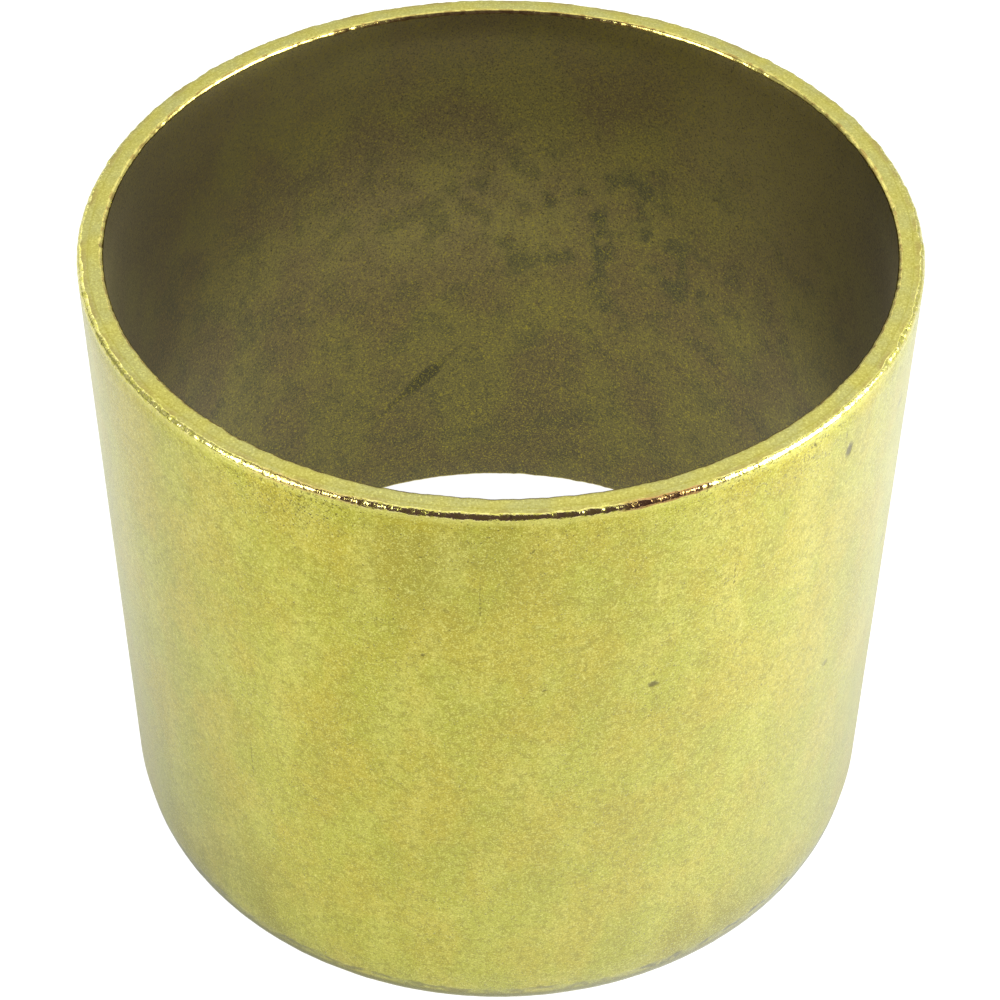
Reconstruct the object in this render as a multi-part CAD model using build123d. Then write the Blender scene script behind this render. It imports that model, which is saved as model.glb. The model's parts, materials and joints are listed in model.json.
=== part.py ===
from build123d import *
import os

# Plain sleeve bushing: one straight thin-walled tube, open at both ends.
# Millimetres. +Z is the bore axis, and the origin is the centre of the bottom end face.

BORE_DIAMETER = 30.0
WALL = 1.0
LENGTH = 27.0

# The bottom end has a long, shallow lead-in on its outside, so that it starts into a housing.
LEAD_IN_LENGTH = 0.8
LEAD_IN_DEPTH = 0.1

# Every other edge is only broken at 45 degrees.
OUTER_EDGE_BREAK = 0.2
BORE_EDGE_BREAK = 0.15

BORE_RADIUS = BORE_DIAMETER / 2
OUTER_RADIUS = BORE_RADIUS + WALL


def wall_section():
    """Half section of the wall in the XZ plane: up the bore, then down the outside."""
    bore_side = [
        (BORE_RADIUS + BORE_EDGE_BREAK, 0),
        (BORE_RADIUS, BORE_EDGE_BREAK),
        (BORE_RADIUS, LENGTH - BORE_EDGE_BREAK),
        (BORE_RADIUS + BORE_EDGE_BREAK, LENGTH),
    ]
    outer_side = [
        (OUTER_RADIUS - OUTER_EDGE_BREAK, LENGTH),
        (OUTER_RADIUS, LENGTH - OUTER_EDGE_BREAK),
        (OUTER_RADIUS, LEAD_IN_LENGTH),
        (OUTER_RADIUS - LEAD_IN_DEPTH, 0),
    ]
    outline = Polyline(*bore_side, *outer_side, close=True)
    return make_face(Plane.XZ * outline)


def sleeve():
    """The bushing itself, turned about the bore axis."""
    return revolve(wall_section(), Axis.Z, 360)


os.makedirs("parts", exist_ok=True)
export_step(sleeve(), "parts/sleeve.step")
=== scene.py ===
import json
import math

import bpy
import numpy as np
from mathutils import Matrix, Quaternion, Vector, noise


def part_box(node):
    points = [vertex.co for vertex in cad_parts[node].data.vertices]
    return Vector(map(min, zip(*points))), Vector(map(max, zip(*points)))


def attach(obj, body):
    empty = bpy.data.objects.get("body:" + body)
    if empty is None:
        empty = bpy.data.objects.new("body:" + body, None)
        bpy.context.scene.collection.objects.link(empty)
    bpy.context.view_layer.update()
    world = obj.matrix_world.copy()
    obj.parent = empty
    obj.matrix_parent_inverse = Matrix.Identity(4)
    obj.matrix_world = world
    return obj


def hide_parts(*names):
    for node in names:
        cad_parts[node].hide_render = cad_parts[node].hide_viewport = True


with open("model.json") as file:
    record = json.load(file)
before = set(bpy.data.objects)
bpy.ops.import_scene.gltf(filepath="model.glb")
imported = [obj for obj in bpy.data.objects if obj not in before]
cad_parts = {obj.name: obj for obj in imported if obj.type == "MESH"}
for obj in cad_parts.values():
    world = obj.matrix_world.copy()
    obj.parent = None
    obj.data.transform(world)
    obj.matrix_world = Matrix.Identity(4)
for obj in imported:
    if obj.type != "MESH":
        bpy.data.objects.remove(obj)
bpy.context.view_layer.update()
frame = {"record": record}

# Metres, in the frame of the CAD: +Z is the bore axis, and z = 0 is the bottom end face.
MM = 0.001
MOUNTS = {m["name"]: m for m in frame["record"]["mounts"]}


def wall_span(mount):
    """Lowest and highest z of the cylinder that a round mount states."""
    middle = mount["pos_m"][2]
    half = mount["dims"]["length_mm"] * MM / 2
    return middle - half, middle + half


OUTER_RADIUS = MOUNTS["outside"]["dims"]["r_mm"] * MM
BORE_RADIUS = MOUNTS["bore"]["dims"]["r_mm"] * MM
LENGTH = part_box("sleeve")[1].z
LEAD_IN_LENGTH, WALL_TOP = wall_span(MOUNTS["outside"])
BORE_BREAK = wall_span(MOUNTS["bore"])[0]
OUTER_BREAK = LENGTH - WALL_TOP
LEAD_IN_DEPTH = 0.1 * MM
FOOT_BREAK = 0.05 * MM

# Viewpoint of the photograph.
CAMERA_TARGET = Vector((-0.34 * MM, 0, LENGTH - 8.93 * MM))
CAMERA_DISTANCE = 98.9 * MM
CAMERA_ELEVATION = math.radians(41.3)
CAMERA_ROLL = math.radians(0.3)
CAMERA_LENS = 88.2
CAMERA_SHIFT = (0.009, -0.099)

# Sections round the axis, and how far a broken edge bulges from a flat chamfer towards its corner.
AROUND = 1152
EDGE_BULGE = 0.62
# How much the width of a broken edge varies: the waves in a full turn that make it up, with their shares.
EDGE_UNEVENNESS = 0.8
EDGE_WAVES = [(40, 0.2), (120, 0.4), (330, 0.35)]

# Sign of y at the middle line that laid-flat coordinates are measured from.
FRONT, BACK = -1.0, 1.0


# ---------------------------------------------------------------- node helpers

class Nodes:
    """Short calls for building one shader tree."""

    def __init__(self, tree):
        self.tree = tree
        tree.nodes.clear()

    def add(self, kind, inputs=(), **settings):
        node = self.tree.nodes.new(kind)
        for name, value in settings.items():
            setattr(node, name, value)
        for name, value in dict(inputs).items():
            self.feed(node.inputs[name], value)
        return node

    def feed(self, socket, value):
        if isinstance(value, bpy.types.NodeSocket):
            self.tree.links.new(value, socket)
        else:
            socket.default_value = value

    def math(self, operation, a, b=0.0, clamp=False):
        node = self.add("ShaderNodeMath", operation=operation, use_clamp=clamp)
        self.feed(node.inputs[0], a)
        self.feed(node.inputs[1], b)
        return node.outputs[0]

    def dot(self, a, b):
        node = self.add("ShaderNodeVectorMath", operation="DOT_PRODUCT")
        self.feed(node.inputs[0], a)
        self.feed(node.inputs[1], b)
        return node.outputs["Value"]

    def remap(self, value, low, high, to_low=0.0, to_high=1.0, smooth=True):
        kind = "SMOOTHSTEP" if smooth else "LINEAR"
        node = self.add("ShaderNodeMapRange", interpolation_type=kind)
        for name, given in (("Value", value), ("From Min", low), ("From Max", high),
                            ("To Min", to_low), ("To Max", to_high)):
            self.feed(node.inputs[name], given)
        return node.outputs[0]

    def blend(self, amount, a, b, kind="MIX"):
        node = self.add("ShaderNodeMix", data_type="RGBA", blend_type=kind)
        self.feed(node.inputs[0], amount)
        self.feed(node.inputs[6], a)
        self.feed(node.inputs[7], b)
        return node.outputs[2]

    def length(self, vector):
        node = self.add("ShaderNodeVectorMath", operation="LENGTH")
        self.feed(node.inputs[0], vector)
        return node.outputs["Value"]

    def place(self, stretch=(1, 1, 1)):
        """The piece's own coordinates, in metres, squeezed along each axis."""
        coords = self.add("ShaderNodeTexCoord").outputs["Object"]
        node = self.add("ShaderNodeVectorMath", operation="MULTIPLY")
        self.feed(node.inputs[0], coords)
        node.inputs[1].default_value = stretch
        return node.outputs[0]

    def grain(self, size, detail=2.0, roughness=0.5, stretch=(1, 1, 1), offset=0.0, where=None):
        """Noise from 0 to 1 whose features are about size metres across."""
        node = self.add("ShaderNodeTexNoise", noise_dimensions="4D")
        self.feed(node.inputs["Vector"], self.place(stretch) if where is None else where)
        node.inputs["W"].default_value = offset
        node.inputs["Scale"].default_value = 1.0 / size
        node.inputs["Detail"].default_value = detail
        node.inputs["Roughness"].default_value = roughness
        return node.outputs["Fac"]

    def height(self):
        """Height above the bottom face, in metres."""
        split = self.add("ShaderNodeSeparateXYZ", {"Vector": self.place()})
        return split.outputs["Z"]

    def unrolled(self, radius, middle=FRONT):
        """The cylinder at that radius laid flat: arc right of its front or back middle, then height."""
        split = self.add("ShaderNodeSeparateXYZ", {"Vector": self.place()})
        x, y, z = (split.outputs[name] for name in "XYZ")
        turn = self.math("ARCTAN2", x, self.math("MULTIPLY", y, middle))
        flat = self.add("ShaderNodeCombineXYZ", {"X": self.math("MULTIPLY", turn, radius), "Y": z})
        return flat.outputs[0]

    def ruffled(self, flat, amount, size):
        """Laid-flat coordinates pushed about by noise, so that marks get natural outlines."""
        node = self.add("ShaderNodeTexNoise", noise_dimensions="3D")
        self.feed(node.inputs["Vector"], flat)
        node.inputs["Scale"].default_value = 1.0 / size
        push = self.add("ShaderNodeVectorMath", operation="MULTIPLY_ADD")
        self.feed(push.inputs[0], node.outputs["Color"])
        push.inputs[1].default_value = (2 * amount,) * 3
        push.inputs[2].default_value = (-amount,) * 3
        total = self.add("ShaderNodeVectorMath", operation="ADD")
        self.feed(total.inputs[0], flat)
        self.feed(total.inputs[1], push.outputs[0])
        return total.outputs[0]

    def mark(self, flat, radius, azimuth, height, half_size, tilt=0.0, soft=0.5):
        """1 in an oval patch at an azimuth in degrees and a height in mm, fading to 0 at its rim."""
        node = self.add("ShaderNodeMapping", vector_type="TEXTURE")
        self.feed(node.inputs["Vector"], flat)
        node.inputs["Location"].default_value = (math.radians(azimuth) * radius, height * MM, 0)
        node.inputs["Rotation"].default_value = (0, 0, math.radians(tilt))
        node.inputs["Scale"].default_value = (half_size[0] * MM, half_size[1] * MM, MM)
        return self.remap(self.length(node.outputs[0]), 1.0, 1.0 - soft)

    def bump(self, height, depth):
        """Normals for a relief that is depth metres high where height is 1."""
        node = self.add("ShaderNodeBump")
        node.inputs["Strength"].default_value = 1.0
        node.inputs["Distance"].default_value = depth
        self.feed(node.inputs["Height"], height)
        return node.outputs[0]


def new_material(name):
    material = bpy.data.materials.new(name)
    material.use_nodes = True
    return material, Nodes(material.node_tree)


def close_material(nodes, colour, roughness, normal, metallic=1.0, **sockets):
    shader = nodes.add("ShaderNodeBsdfPrincipled")
    nodes.feed(shader.inputs["Base Color"], colour)
    nodes.feed(shader.inputs["Roughness"], roughness)
    nodes.feed(shader.inputs["Normal"], normal)
    nodes.feed(shader.inputs["Metallic"], metallic)
    for name, value in sockets.items():
        nodes.feed(shader.inputs[name.replace("_", " ")], value)
    out = nodes.add("ShaderNodeOutputMaterial")
    nodes.feed(out.inputs["Surface"], shader.outputs[0])


# ---------------------------------------------------------------- materials

GREEN_BRASS = (0.418, 0.408, 0.036, 1)
ORANGE_BRASS = (0.459, 0.392, 0.032, 1)
PALE_BRASS = (0.68, 0.66, 0.18, 1)
FACE_BRASS = (0.368, 0.353, 0.120, 1)
FACE_BROWN = (0.27, 0.20, 0.06, 1)
# Tarnish of the grain and marks, also used as painted shade on the outside.
TARNISH_AND_SHADE = (0.275, 0.248, 0.020, 1)
# Painted shade where the wall meets the floor.
FOOT_SHADE = (0.15, 0.135, 0.015, 1)
GRIME = (0.11, 0.095, 0.004, 1)
DARK_SPECK = (0.12, 0.098, 0.0, 1)
SMEAR = (0.068, 0.064, 0.034, 1)
LIP_BRASS = (0.52, 0.46, 0.13, 1)
LIP_BROWN = (0.33, 0.25, 0.07, 1)
BARE_BRASS = (0.62, 0.57, 0.20, 1)
# Painted reflection colour: reddish fringe on the broken edge.
COPPER_FRINGE = (0.30, 0.12, 0.06, 1)
# Pale stain near the bore's rim, also used as painted light in the bore.
PALE_STAIN_AND_LIGHT = (0.36, 0.31, 0.13, 1)
STAIN_LIGHT = (0.226, 0.196, 0.060, 1)
STAIN_BROWN = (0.180, 0.138, 0.062, 1)
STAIN_GREEN = (0.110, 0.106, 0.052, 1)

# Marks on the outside, in degrees and mm: azimuth, height, half width, half height, tilt, strength.
WALL_DOTS = [
    (-59.8, 24.1, 0.13, 0.09, 0, 0.6),
    (-40.2, 21.1, 0.16, 0.05, 25, 0.5),
    (-35.2, 20.7, 0.20, 0.05, -35, 0.5),
    (-33.5, 17.4, 0.18, 0.05, 30, 0.4),
    (-9.7, 24.9, 0.11, 0.09, 0, 0.7),
    (-9.6, 20.1, 0.09, 0.11, 0, 0.9),
    (-6.6, 22.4, 0.14, 0.22, 40, 0.4),
    (3.9, 25.4, 0.20, 0.06, 50, 0.7),
    (5.8, 18.4, 0.13, 0.08, 10, 0.7),
    (20.2, 17.8, 0.28, 0.22, 0, 0.9),
    (42.7, 26.5, 0.12, 0.10, 0, 0.8),
    (47.3, 21.8, 0.16, 0.07, 0, 0.5),
    (50.6, 24.8, 0.30, 0.46, -15, 1.0),
    (52.0, 13.4, 0.26, 0.22, 0, 0.6),
    (67.8, 23.5, 0.50, 0.30, 0, 0.5),
    (70.3, 15.8, 0.45, 0.25, 0, 0.5),
]
# Painted shade outside, darker areas at both sides of the foot, and a painted dark reflection under the
# front rim: azimuth, height of the middle, half width and height, strength.
PAINTED_SHADE_PATCHES = [
    (-9, 24.5, (7.0, 5.0), 0.50),
    (-45, 0.5, (8.5, 8.0), 0.80),
    (38, 0.0, (10.0, 6.0), 0.85),
]
# Painted light in the bore, paler areas placed the same way, but from the back middle.
PAINTED_LIGHT_PATCHES = [
    (56, 26.0, (10.0, 11.0), 1.00),
    (-12, 16.5, (12.0, 6.0), 0.30),
]
# Broken upright scratches on the outside: azimuth, height of the middle, half height.
WALL_LINES = [(-2.4, 23.1, 1.6), (49.6, 25.7, 0.9), (-36.0, 11.0, 1.5), (31.0, 22.0, 1.2)]


def wall_marks(n, flat):
    """How dark each point of the outside is from its single marks and broken scratches."""
    loose = n.ruffled(flat, 0.12 * MM, 0.18 * MM)
    total = 0.0
    for azimuth, height, width, rise, tilt, strength in WALL_DOTS:
        dot = n.mark(loose, OUTER_RADIUS, azimuth, height, (width, rise), tilt, 0.7)
        total = n.math("MAXIMUM", total, n.math("MULTIPLY", dot, strength))
    broken = n.remap(n.grain(0.13 * MM, 1.0, offset=41.0), 0.45, 0.58, 0.0, 0.6)
    for azimuth, height, rise in WALL_LINES:
        line = n.mark(flat, OUTER_RADIUS, azimuth, height, (0.06, rise), 0, 0.6)
        total = n.math("MAXIMUM", total, n.math("MULTIPLY", line, broken))
    return total


def wall_specks(n, flat, height):
    """Tiny dark specks in loose drifts, thickest just under the rim at both sides of the front."""
    drift = n.remap(n.grain(3.5 * MM, 1.0, offset=51.0), 0.35, 0.65, 0.0, 0.04)
    near_rim = n.remap(height, WALL_TOP - 3.0 * MM, WALL_TOP - 0.2 * MM, 0.0, 0.03)
    level = n.math("ADD", n.math("ADD", drift, near_rim), 0.345)
    for azimuth, width in ((-28, 4.0), (34, 6.0)):
        cluster = n.mark(flat, OUTER_RADIUS, azimuth, 26.8, (width, 3.2), 0, 0.9)
        level = n.math("ADD", level, n.math("MULTIPLY", cluster, 0.045))
    specks = n.grain(0.075 * MM, 2.0, 0.7, (1, 1, 0.8), offset=7.0)
    under = n.math("SUBTRACT", specks, level)
    return n.remap(under, 0.0, -0.06, 0.0, 0.8)


def foot_line(n, flat, height):
    """Ragged dashes of grime along the top of the lead-in, plainest at the front right."""
    wander = n.remap(n.grain(0.9 * MM, 2.0, 0.6, offset=61.0), 0.3, 0.7, -0.15 * MM, 0.15 * MM)
    away = n.math("SUBTRACT", n.math("ADD", height, wander), LEAD_IN_LENGTH - 0.22 * MM)
    right = n.mark(flat, OUTER_RADIUS, 36, 0.5, (7.0, 4.0), 0, 0.8)
    plain = n.remap(right, 0, 1, 0.6, 1.0, smooth=False)
    dashes = n.remap(n.grain(0.8 * MM, 3.0, 0.6, offset=67.0), 0.42, 0.55, 0.25, 1.0)
    line = n.remap(n.math("ABSOLUTE", away), 0.20 * MM, 0.06 * MM)
    return n.math("MULTIPLY", line, n.math("MULTIPLY", dashes, plain))


def wall_material():
    """Satin outside: fine even grain, soft blotches from orange to green, specks and small marks, and
    painted shade in soft patches and along the foot.
    """
    material, n = new_material("satin_wall")
    height, flat = n.height(), n.unrolled(OUTER_RADIUS)
    blotch = n.remap(n.grain(2.4 * MM, 3.0, 0.6, (1, 1, 0.7)), 0.38, 0.62)
    colour = n.blend(blotch, GREEN_BRASS, ORANGE_BRASS)
    loose = n.ruffled(flat, 2.5 * MM, 5.0 * MM)
    # Painted shade: darker patches beside the foot, and a painted dark reflection under the front rim.
    for azimuth, middle, half_size, strength in PAINTED_SHADE_PATCHES:
        patch = n.mark(loose, OUTER_RADIUS, azimuth, middle, half_size, 0, 0.95)
        colour = n.blend(n.math("MULTIPLY", patch, strength), colour, TARNISH_AND_SHADE)
    band = n.grain(1.5 * MM, 3.0, 0.6, (1, 1, 0.35), offset=2.0)
    colour = n.blend(n.remap(band, 0.46, 0.68, 0.0, 0.22), colour, PALE_BRASS)
    colour = n.blend(n.remap(band, 0.50, 0.32, 0.0, 0.20), colour, TARNISH_AND_SHADE)
    cloud = n.grain(0.30 * MM, 3.0, 0.7, offset=5.0)
    colour = n.blend(n.remap(cloud, 0.56, 0.34, 0.0, 0.55), colour, TARNISH_AND_SHADE)
    dings = n.grain(0.20 * MM, 1.0, 0.5, offset=71.0)
    colour = n.blend(n.remap(dings, 0.38, 0.30, 0.0, 0.5), colour, TARNISH_AND_SHADE)
    colour = n.blend(n.remap(dings, 0.62, 0.72, 0.0, 0.4), colour, PALE_BRASS)
    fine = n.grain(0.055 * MM, 2.0, 0.7, offset=3.0)
    colour = n.blend(n.remap(fine, 0.50, 0.70, 0.0, 0.8), colour, PALE_BRASS)
    colour = n.blend(n.remap(fine, 0.50, 0.30, 0.0, 0.7), colour, TARNISH_AND_SHADE)
    rub = n.remap(height, WALL_TOP - 0.32 * MM, WALL_TOP - 0.05 * MM, 0.0, 0.4)
    colour = n.blend(rub, colour, PALE_BRASS)
    # Painted shade: darker in the lowest half millimetre, where the wall meets the floor.
    foot_shade = n.remap(height, 0.5 * MM, 0.22 * MM, 0.0, 0.85)
    colour = n.blend(foot_shade, colour, FOOT_SHADE)
    colour = n.blend(foot_line(n, flat, height), colour, GRIME)
    dirt = n.math("MAXIMUM", wall_marks(n, flat), wall_specks(n, flat, height))
    colour = n.blend(dirt, colour, DARK_SPECK)
    roughness = n.remap(fine, 0.3, 0.7, 0.56, 0.44)
    normal = n.bump(n.math("SUBTRACT", fine, n.math("MULTIPLY", dirt, 0.5)), 0.012 * MM)
    close_material(n, colour, roughness, normal, 1.0,
                   Sheen_Weight=0.75, Sheen_Roughness=0.38, Sheen_Tint=(0.95, 1.0, 1.0, 1))
    return material


def face_material():
    """Turned end faces: faint rings round the axis in a paler skin of the same brass."""
    material, n = new_material("turned_face")
    radius = n.length(n.place((1, 1, 0)))
    wander = n.remap(n.grain(2.0 * MM, 2.0, 0.5, offset=9.0), 0.3, 0.7, -0.03 * MM, 0.03 * MM)
    ring = n.add("ShaderNodeCombineXYZ", {"X": n.math("ADD", radius, wander)})
    rings = n.grain(0.09 * MM, 1.0, 0.5, offset=13.0, where=ring.outputs[0])
    blotch = n.remap(n.grain(1.6 * MM, 2.0, 0.5), 0.35, 0.65)
    colour = n.blend(n.math("MULTIPLY", blotch, 0.4), FACE_BRASS, ORANGE_BRASS)
    fine = n.grain(0.09 * MM, 3.0, 0.75, offset=11.0)
    colour = n.blend(n.remap(fine, 0.5, 0.70, 0.0, 0.6), colour, PALE_BRASS)
    colour = n.blend(n.remap(fine, 0.5, 0.32, 0.0, 0.6), colour, TARNISH_AND_SHADE)
    colour = n.blend(n.remap(rings, 0.46, 0.32, 0.0, 0.35), colour, TARNISH_AND_SHADE)
    dull = n.remap(n.grain(1.3 * MM, 2.0, 0.6, offset=15.0), 0.42, 0.62, 0.0, 0.6)
    outward = n.remap(radius, OUTER_RADIUS - 0.50 * MM, OUTER_RADIUS - OUTER_BREAK)
    colour = n.blend(n.math("MULTIPLY", dull, outward), colour, FACE_BROWN)
    away = n.math("SUBTRACT", n.math("ADD", radius, wander), OUTER_RADIUS - 0.42 * MM)
    line = n.remap(n.math("ABSOLUTE", away), 0.05 * MM, 0.01 * MM, 0.0, 0.35)
    colour = n.blend(line, colour, TARNISH_AND_SHADE)
    roughness = n.remap(fine, 0.3, 0.7, 0.5, 0.38)
    normal = n.bump(n.math("ADD", n.math("MULTIPLY", rings, 0.7), fine), 0.008 * MM)
    close_material(n, colour, roughness, normal, 1.0)
    return material


def edge_material():
    """Broken outer edges: burnished bare metal, beaded by small nicks, with a painted reddish fringe at
    each end of the dark front reflection.
    """
    material, n = new_material("worn_edge")
    beads = n.grain(0.16 * MM, 2.0, 0.55, offset=17.0)
    colour = n.blend(n.remap(beads, 0.62, 0.38, 0.0, 0.6), BARE_BRASS, GREEN_BRASS)
    fringe_place = n.ruffled(n.unrolled(OUTER_RADIUS), 0.5 * MM, 1.0 * MM)
    # Painted reflection colour: a reddish fringe where the dark front reflection meets the highlights at
    # each side.
    for azimuth, width, strength in ((-24, 3.0, 0.35), (21, 2.2, 0.7)):
        fringe = n.mark(fringe_place, OUTER_RADIUS, azimuth, 27.0, (width, 3.0), 0, 0.6)
        colour = n.blend(n.math("MULTIPLY", fringe, strength), colour, COPPER_FRINGE)
    nicks = n.remap(n.grain(0.20 * MM, 2.0, 0.6, offset=18.0), 0.40, 0.30, 0.0, 0.7)
    colour = n.blend(nicks, colour, DARK_SPECK)
    roughness = n.remap(beads, 0.3, 0.7, 0.22, 0.12)
    normal = n.bump(n.math("SUBTRACT", beads, n.math("MULTIPLY", nicks, 0.2)), 0.028 * MM)
    close_material(n, colour, roughness, normal, 1.0)
    return material


def lip_material():
    """The small break at the bore: bright metal, beaded by nicks, browned in short lengths."""
    material, n = new_material("bright_lip")
    worn = n.grain(0.5 * MM, 2.0, 0.6, offset=19.0)
    colour = n.blend(n.remap(worn, 0.40, 0.56), LIP_BROWN, LIP_BRASS)
    beads = n.grain(0.14 * MM, 2.0, 0.55, offset=21.0)
    roughness = n.remap(beads, 0.3, 0.7, 0.24, 0.14)
    normal = n.bump(beads, 0.010 * MM)
    close_material(n, colour, roughness, normal, 1.0)
    return material


def smear_marks(n, flat):
    """One long smear in the bore, with a thin tail at each end."""
    loose = n.ruffled(flat, 0.10 * MM, 0.4 * MM)
    body = n.mark(loose, BORE_RADIUS, -13.9, 6.7, (1.7, 0.50), 42, 0.5)
    tail = n.mark(loose, BORE_RADIUS, -15.5, 6.4, (3.4, 0.24), 42, 0.7)
    return n.math("MAXIMUM", n.math("MULTIPLY", body, 0.95), n.math("MULTIPLY", tail, 0.7))


def bore_material():
    """Bore: a dull skin, smooth and brown near the rim, mottled olive below, with one long smear and
    painted light in paler patches.
    """
    material, n = new_material("stained_bore")
    height = n.height()
    low = n.remap(height, LENGTH - 4.5 * MM, LENGTH - 9.5 * MM, 0.25, 1.0)
    warm = n.remap(n.grain(3.6 * MM, 2.0, 0.5, offset=23.0), 0.40, 0.60)
    colour = n.blend(n.math("MULTIPLY", warm, 0.8), STAIN_LIGHT, STAIN_BROWN)
    flat = n.unrolled(BORE_RADIUS, BACK)
    pale = n.remap(height, LENGTH - 5 * MM, LENGTH - 0.5 * MM, 0.0, 0.4)
    # Painted light: paler patches on the bore.
    for azimuth, middle, half_size, strength in PAINTED_LIGHT_PATCHES:
        patch = n.mark(flat, BORE_RADIUS, azimuth, middle, half_size, 0, 0.9)
        pale = n.math("MAXIMUM", pale, n.math("MULTIPLY", patch, strength))
    colour = n.blend(pale, colour, PALE_STAIN_AND_LIGHT)
    cloudy = n.mark(n.ruffled(flat, 2.0 * MM, 4.0 * MM), BORE_RADIUS, 20, 16.0, (9.0, 9.0), 0, 0.8)
    clouded = n.math("MULTIPLY", low, n.remap(cloudy, 0, 1, 0.45, 1.0, smooth=False))
    mottle = n.remap(n.grain(1.3 * MM, 2.0, 0.5, offset=31.0), 0.54, 0.34)
    colour = n.blend(n.math("MULTIPLY", mottle, clouded), colour, STAIN_GREEN)
    spots = n.remap(n.grain(0.8 * MM, 2.0, 0.5, offset=37.0), 0.44, 0.28, 0.0, 0.8)
    colour = n.blend(n.math("MULTIPLY", spots, clouded), colour, STAIN_BROWN)
    colour = n.blend(n.remap(height, 16 * MM, 3 * MM, 0.0, 0.36), colour, SMEAR)
    colour = n.blend(smear_marks(n, flat), colour, SMEAR)
    fine = n.grain(0.075 * MM, 3.0, 0.75, offset=29.0)
    colour = n.blend(n.remap(fine, 0.50, 0.70, 0.0, 0.75), colour, ORANGE_BRASS)
    colour = n.blend(n.remap(fine, 0.50, 0.30, 0.0, 1.0), colour, SMEAR)
    roughness = n.remap(fine, 0.3, 0.7, 0.44, 0.34)
    normal = n.bump(fine, 0.010 * MM)
    close_material(n, colour, roughness, normal, 1.0, Sheen_Weight=0.05, Sheen_Roughness=0.5)
    return material


# ---------------------------------------------------------------- the sleeve

def rounded_corner(start, corner, end, steps):
    """Points of a soft edge between start and end, bulging towards the sharp corner, without either end."""
    start, corner, end = (np.array(p, float) for p in (start, corner, end))
    t = np.linspace(0, 1, steps + 1)[1:-1, None]
    pull = EDGE_BULGE * corner + (1 - EDGE_BULGE) * (start + end) / 2
    return (1 - t) ** 2 * start + 2 * t * (1 - t) * pull + t ** 2 * end


def straight(start, end, steps):
    """Points from start to end, with both of them."""
    t = np.linspace(0, 1, steps + 1)[:, None]
    return (1 - t) * np.array(start, float) + t * np.array(end, float)


def ring_noise(azimuth, waves, seed):
    """Noise round the axis, from about -1 to 1, with so many waves in a full turn."""
    radius = waves / math.tau
    ring = [Vector((radius * math.cos(a), radius * math.sin(a), seed)) for a in azimuth]
    return np.array([noise.noise(point) for point in ring])


def section(outer_break, bore_break, foot_break):
    """The wall's section at one azimuth: (radius, z) points and the slot of each span between them."""
    top, r_out, r_in = LENGTH, OUTER_RADIUS, BORE_RADIUS
    foot = r_out - LEAD_IN_DEPTH
    runs = [
        ("wall", straight((foot, foot_break), (r_out, LEAD_IN_LENGTH), 4)[:-1]),
        ("wall", straight((r_out, LEAD_IN_LENGTH), (r_out, top - outer_break), 26)),
        ("edge", rounded_corner((r_out, top - outer_break), (r_out, top), (r_out - outer_break, top), 8)),
        ("face", straight((r_out - outer_break, top), (r_in + bore_break, top), 6)),
        ("lip", rounded_corner((r_in + bore_break, top), (r_in, top), (r_in, top - bore_break), 6)),
        ("bore", straight((r_in, top - bore_break), (r_in, bore_break), 20)),
        ("lip", rounded_corner((r_in, bore_break), (r_in, 0), (r_in + bore_break, 0), 4)),
        ("face", straight((r_in + bore_break, 0), (foot - foot_break, 0), 3)),
        ("edge", rounded_corner((foot - foot_break, 0), (foot, 0), (foot, foot_break), 3)),
    ]
    points = np.concatenate([run for _, run in runs])
    slots = [slot for slot, run in runs for _ in run]
    return points, slots


def sleeve_mesh(materials):
    """The whole bushing as one closed mesh, its broken edges uneven as hand-finished edges are."""
    azimuth = np.linspace(0, math.tau, AROUND, endpoint=False)

    def uneven(size, seed):
        ragged = sum(share * ring_noise(azimuth, waves, seed + waves) for waves, share in EDGE_WAVES)
        return size * (1 + EDGE_UNEVENNESS * ragged)

    outer, inner, foot = uneven(OUTER_BREAK, 1), uneven(BORE_BREAK, 2), uneven(FOOT_BREAK, 3)
    vertices, slots = [], None
    for a, *breaks in zip(azimuth, outer, inner, foot):
        points, slots = section(*breaks)
        radius, z = points[:, 0], points[:, 1]
        vertices.append(np.column_stack([radius * math.sin(a), -radius * math.cos(a), z]))
    rows = len(slots)
    vertices = np.concatenate(vertices)
    faces, face_slots = [], []
    for i in range(AROUND):
        here, beyond = i * rows, (i + 1) % AROUND * rows
        for j in range(rows):
            k = (j + 1) % rows
            faces.append((here + j, beyond + j, beyond + k, here + k))
            # A span between two runs belongs to the broken edge, if one of them is that.
            face_slots.append(slots[j] if slots[j] in ("edge", "lip") else slots[k])
    mesh = bpy.data.meshes.new("sleeve_metal")
    mesh.from_pydata(vertices.tolist(), [], faces)
    names = list(materials)
    for name in names:
        mesh.materials.append(materials[name])
    mesh.polygons.foreach_set("material_index", [names.index(s) for s in face_slots])
    mesh.polygons.foreach_set("use_smooth", [True] * len(faces))
    mesh.update()
    return mesh


def build_sleeve():
    materials = {
        "wall": wall_material(),
        "face": face_material(),
        "edge": edge_material(),
        "lip": lip_material(),
        "bore": bore_material(),
    }
    piece = bpy.data.objects.new("sleeve_metal", sleeve_mesh(materials))
    bpy.context.scene.collection.objects.link(piece)
    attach(piece, "root")
    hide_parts("sleeve")
    return piece


# ---------------------------------------------------------------- stage

# The tent gets lighter from left to right. Its opening is round: azimuth and elevation of its middle,
# and the angles from there at which it starts and has finished fading into the tent.
TENT_LIGHT = (0.45, 1.0)
OPENING = (5, 45)
OPENING_EDGE = (44, 62)
OPENING_LIGHT = 0.12
OPENING_TINT = (1.0, 0.62, 1.1, 1)

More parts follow.
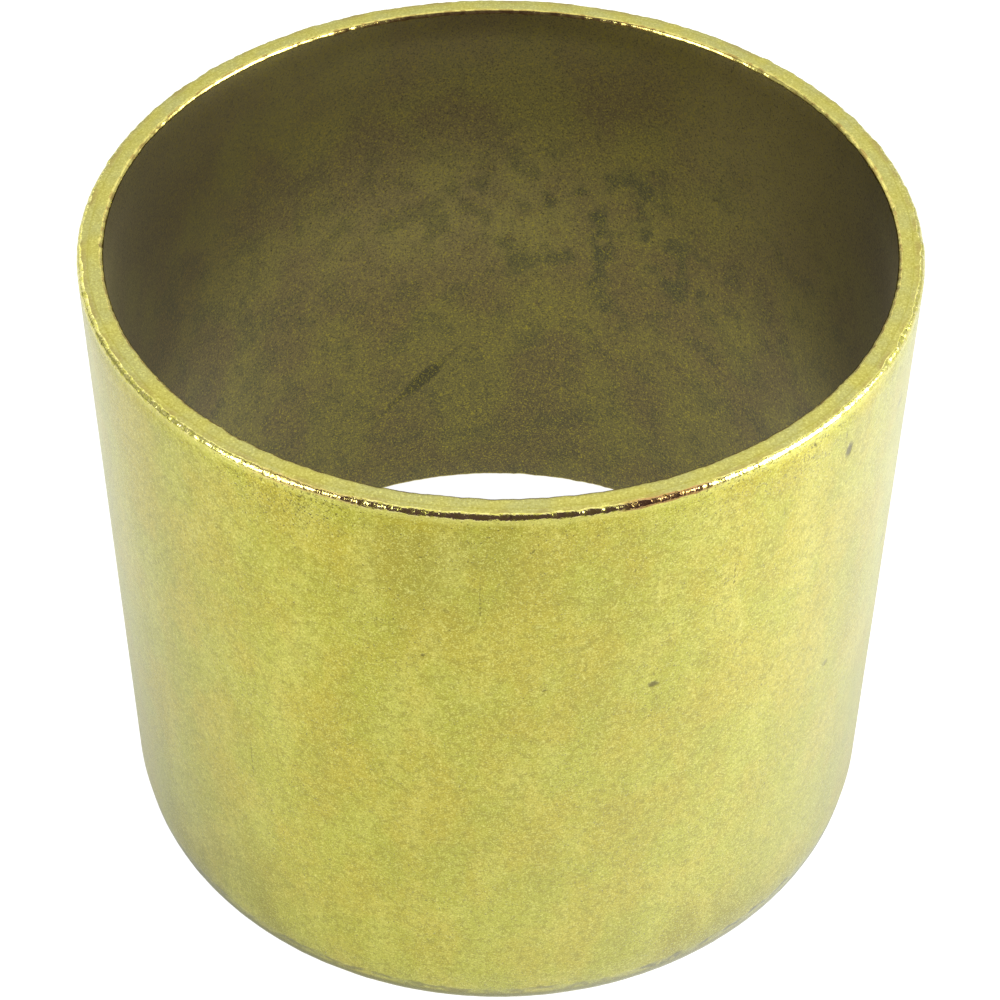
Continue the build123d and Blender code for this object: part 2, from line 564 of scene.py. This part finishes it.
# The floor: its shade is an oval round the foot, and close to the part it gives back yellowed light.
FLOOR_HALF = 1.2
FLOOR_DROP = 0.02 * MM
SHADE_OVAL = (38 * MM, 20 * MM)
SHADE_LIGHT = 0.45
INSIDE_LIGHT = 0.86
BRASS_GLOW = (0.98, 1.0, 0.74, 1)
GLOW_REACH = (16 * MM, 2 * MM)

# Soft boxes: azimuth and elevation in degrees, width and height in metres, radiance.
LIGHT_DISTANCE = 0.6
SOFT_BOXES = {
    "left_box": (-59, 33, 0.22, 0.4, 10.8),
    "left_fill": (-86, 33, 0.30, 0.4, 0.3),
    "right_front_fill": (61, 33, 0.13, 0.4, 4.0),
    "right_box": (79, 33, 0.26, 0.4, 20.5),
    "right_back_fill": (101, 33, 0.16, 0.4, 5.0),
    "left_back_fill": (-135, 25, 0.3, 0.4, 0.9),
    "top_box": (180, 75, 0.6, 0.4, 1.2),
    "back_box": (180, 42, 0.8, 0.25, 1.05),
}


def build_floor():
    """A plain pale floor, lit like a light table, with the part's soft shade at both sides of its foot."""
    mesh = bpy.data.meshes.new("floor")
    corners = [(FLOOR_HALF * x, FLOOR_HALF * y, 0) for x, y in ((-1, -1), (1, -1), (1, 1), (-1, 1))]
    mesh.from_pydata(corners, [], [(0, 1, 2, 3)])
    material, n = new_material("floor")
    from_axis = n.length(n.place())
    beside = n.length(n.place((1 / SHADE_OVAL[0], 1 / SHADE_OVAL[1], 0)))
    shaded = n.remap(beside, 0.5, 1.0, SHADE_LIGHT, 1.0)
    inside = n.remap(from_axis, OUTER_RADIUS, BORE_RADIUS, 0.0, INSIDE_LIGHT)
    near = n.remap(from_axis, *(OUTER_RADIUS + reach for reach in GLOW_REACH))
    outside = n.remap(from_axis, BORE_RADIUS, OUTER_RADIUS)
    glow = n.math("MULTIPLY", near, outside)
    seen = n.add("ShaderNodeLightPath").outputs["Is Camera Ray"]
    light = n.math("MAXIMUM", n.math("MAXIMUM", shaded, inside), seen)
    tint = n.blend(n.math("MULTIPLY", glow, n.math("SUBTRACT", 1.0, seen)), (1, 1, 1, 1), BRASS_GLOW)
    close_material(n, (0.1, 0.1, 0.1, 1), 0.4, (0, 0, 0), 0.0, Emission_Color=tint, Emission_Strength=light)
    mesh.materials.append(material)
    floor = bpy.data.objects.new("floor", mesh)
    floor.location.z = -FLOOR_DROP
    bpy.context.scene.collection.objects.link(floor)


def direction(azimuth, elevation):
    """Unit vector from the part: azimuth 0 is the front, 90 the right, in degrees."""
    a, e = math.radians(azimuth), math.radians(elevation)
    return Vector((math.sin(a) * math.cos(e), -math.cos(a) * math.cos(e), math.sin(e)))


def soft_box(name, azimuth, elevation, width, height, radiance):
    """A rectangular soft light facing the part."""
    light = bpy.data.lights.new(name, "AREA")
    light.shape = "RECTANGLE"
    light.size, light.size_y = width, height
    light.energy = radiance * math.pi * width * height
    lamp = bpy.data.objects.new(name, light)
    towards = direction(azimuth, elevation)
    lamp.location = towards * LIGHT_DISTANCE + Vector((0, 0, LENGTH / 2))
    lamp.rotation_mode = "QUATERNION"
    lamp.rotation_quaternion = towards.to_track_quat("Z", "Y")
    lamp.visible_camera = False
    bpy.context.scene.collection.objects.link(lamp)


def build_world():
    """A white tent, open towards the camera; the camera itself sees a plain pale backdrop."""
    world = bpy.data.worlds.new("studio")
    world.use_nodes = True
    bpy.context.scene.world = world
    n = Nodes(world.node_tree)
    looking = n.add("ShaderNodeTexCoord").outputs["Generated"]
    across = n.dot(looking, direction(90, 0))
    tent = n.remap(across, -1, 1, *TENT_LIGHT, smooth=False)
    narrow, wide = (math.cos(math.radians(a)) for a in OPENING_EDGE)
    opening = n.remap(n.dot(looking, direction(*OPENING)), wide, narrow)
    tent = n.remap(opening, 0, 1, tent, OPENING_LIGHT, smooth=False)
    seen = n.add("ShaderNodeLightPath").outputs["Is Camera Ray"]
    strength = n.remap(seen, 0, 1, tent, 1.0, smooth=False)
    tint = n.blend(n.math("MULTIPLY", opening, n.math("SUBTRACT", 1.0, seen)), (1, 1, 1, 1), OPENING_TINT)
    shade = n.add("ShaderNodeBackground", {"Color": tint, "Strength": strength})
    n.add("ShaderNodeOutputWorld", {"Surface": shade.outputs[0]})


def build_camera():
    data = bpy.data.cameras.new("camera")
    data.lens = CAMERA_LENS
    data.sensor_width = 36
    data.shift_x, data.shift_y = CAMERA_SHIFT
    data.clip_start, data.clip_end = 0.005, 10
    camera = bpy.data.objects.new("camera", data)
    back = direction(0, math.degrees(CAMERA_ELEVATION))
    camera.location = CAMERA_TARGET + back * CAMERA_DISTANCE
    camera.rotation_mode = "QUATERNION"
    camera.rotation_quaternion = (-back).to_track_quat("-Z", "Y") @ Quaternion((0, 0, 1), CAMERA_ROLL)
    bpy.context.scene.collection.objects.link(camera)
    bpy.context.scene.camera = camera


build_sleeve()
build_floor()
for box_name, box in SOFT_BOXES.items():
    soft_box(box_name, *box)
build_world()
build_camera()
bpy.context.scene.view_settings.view_transform = "Standard"
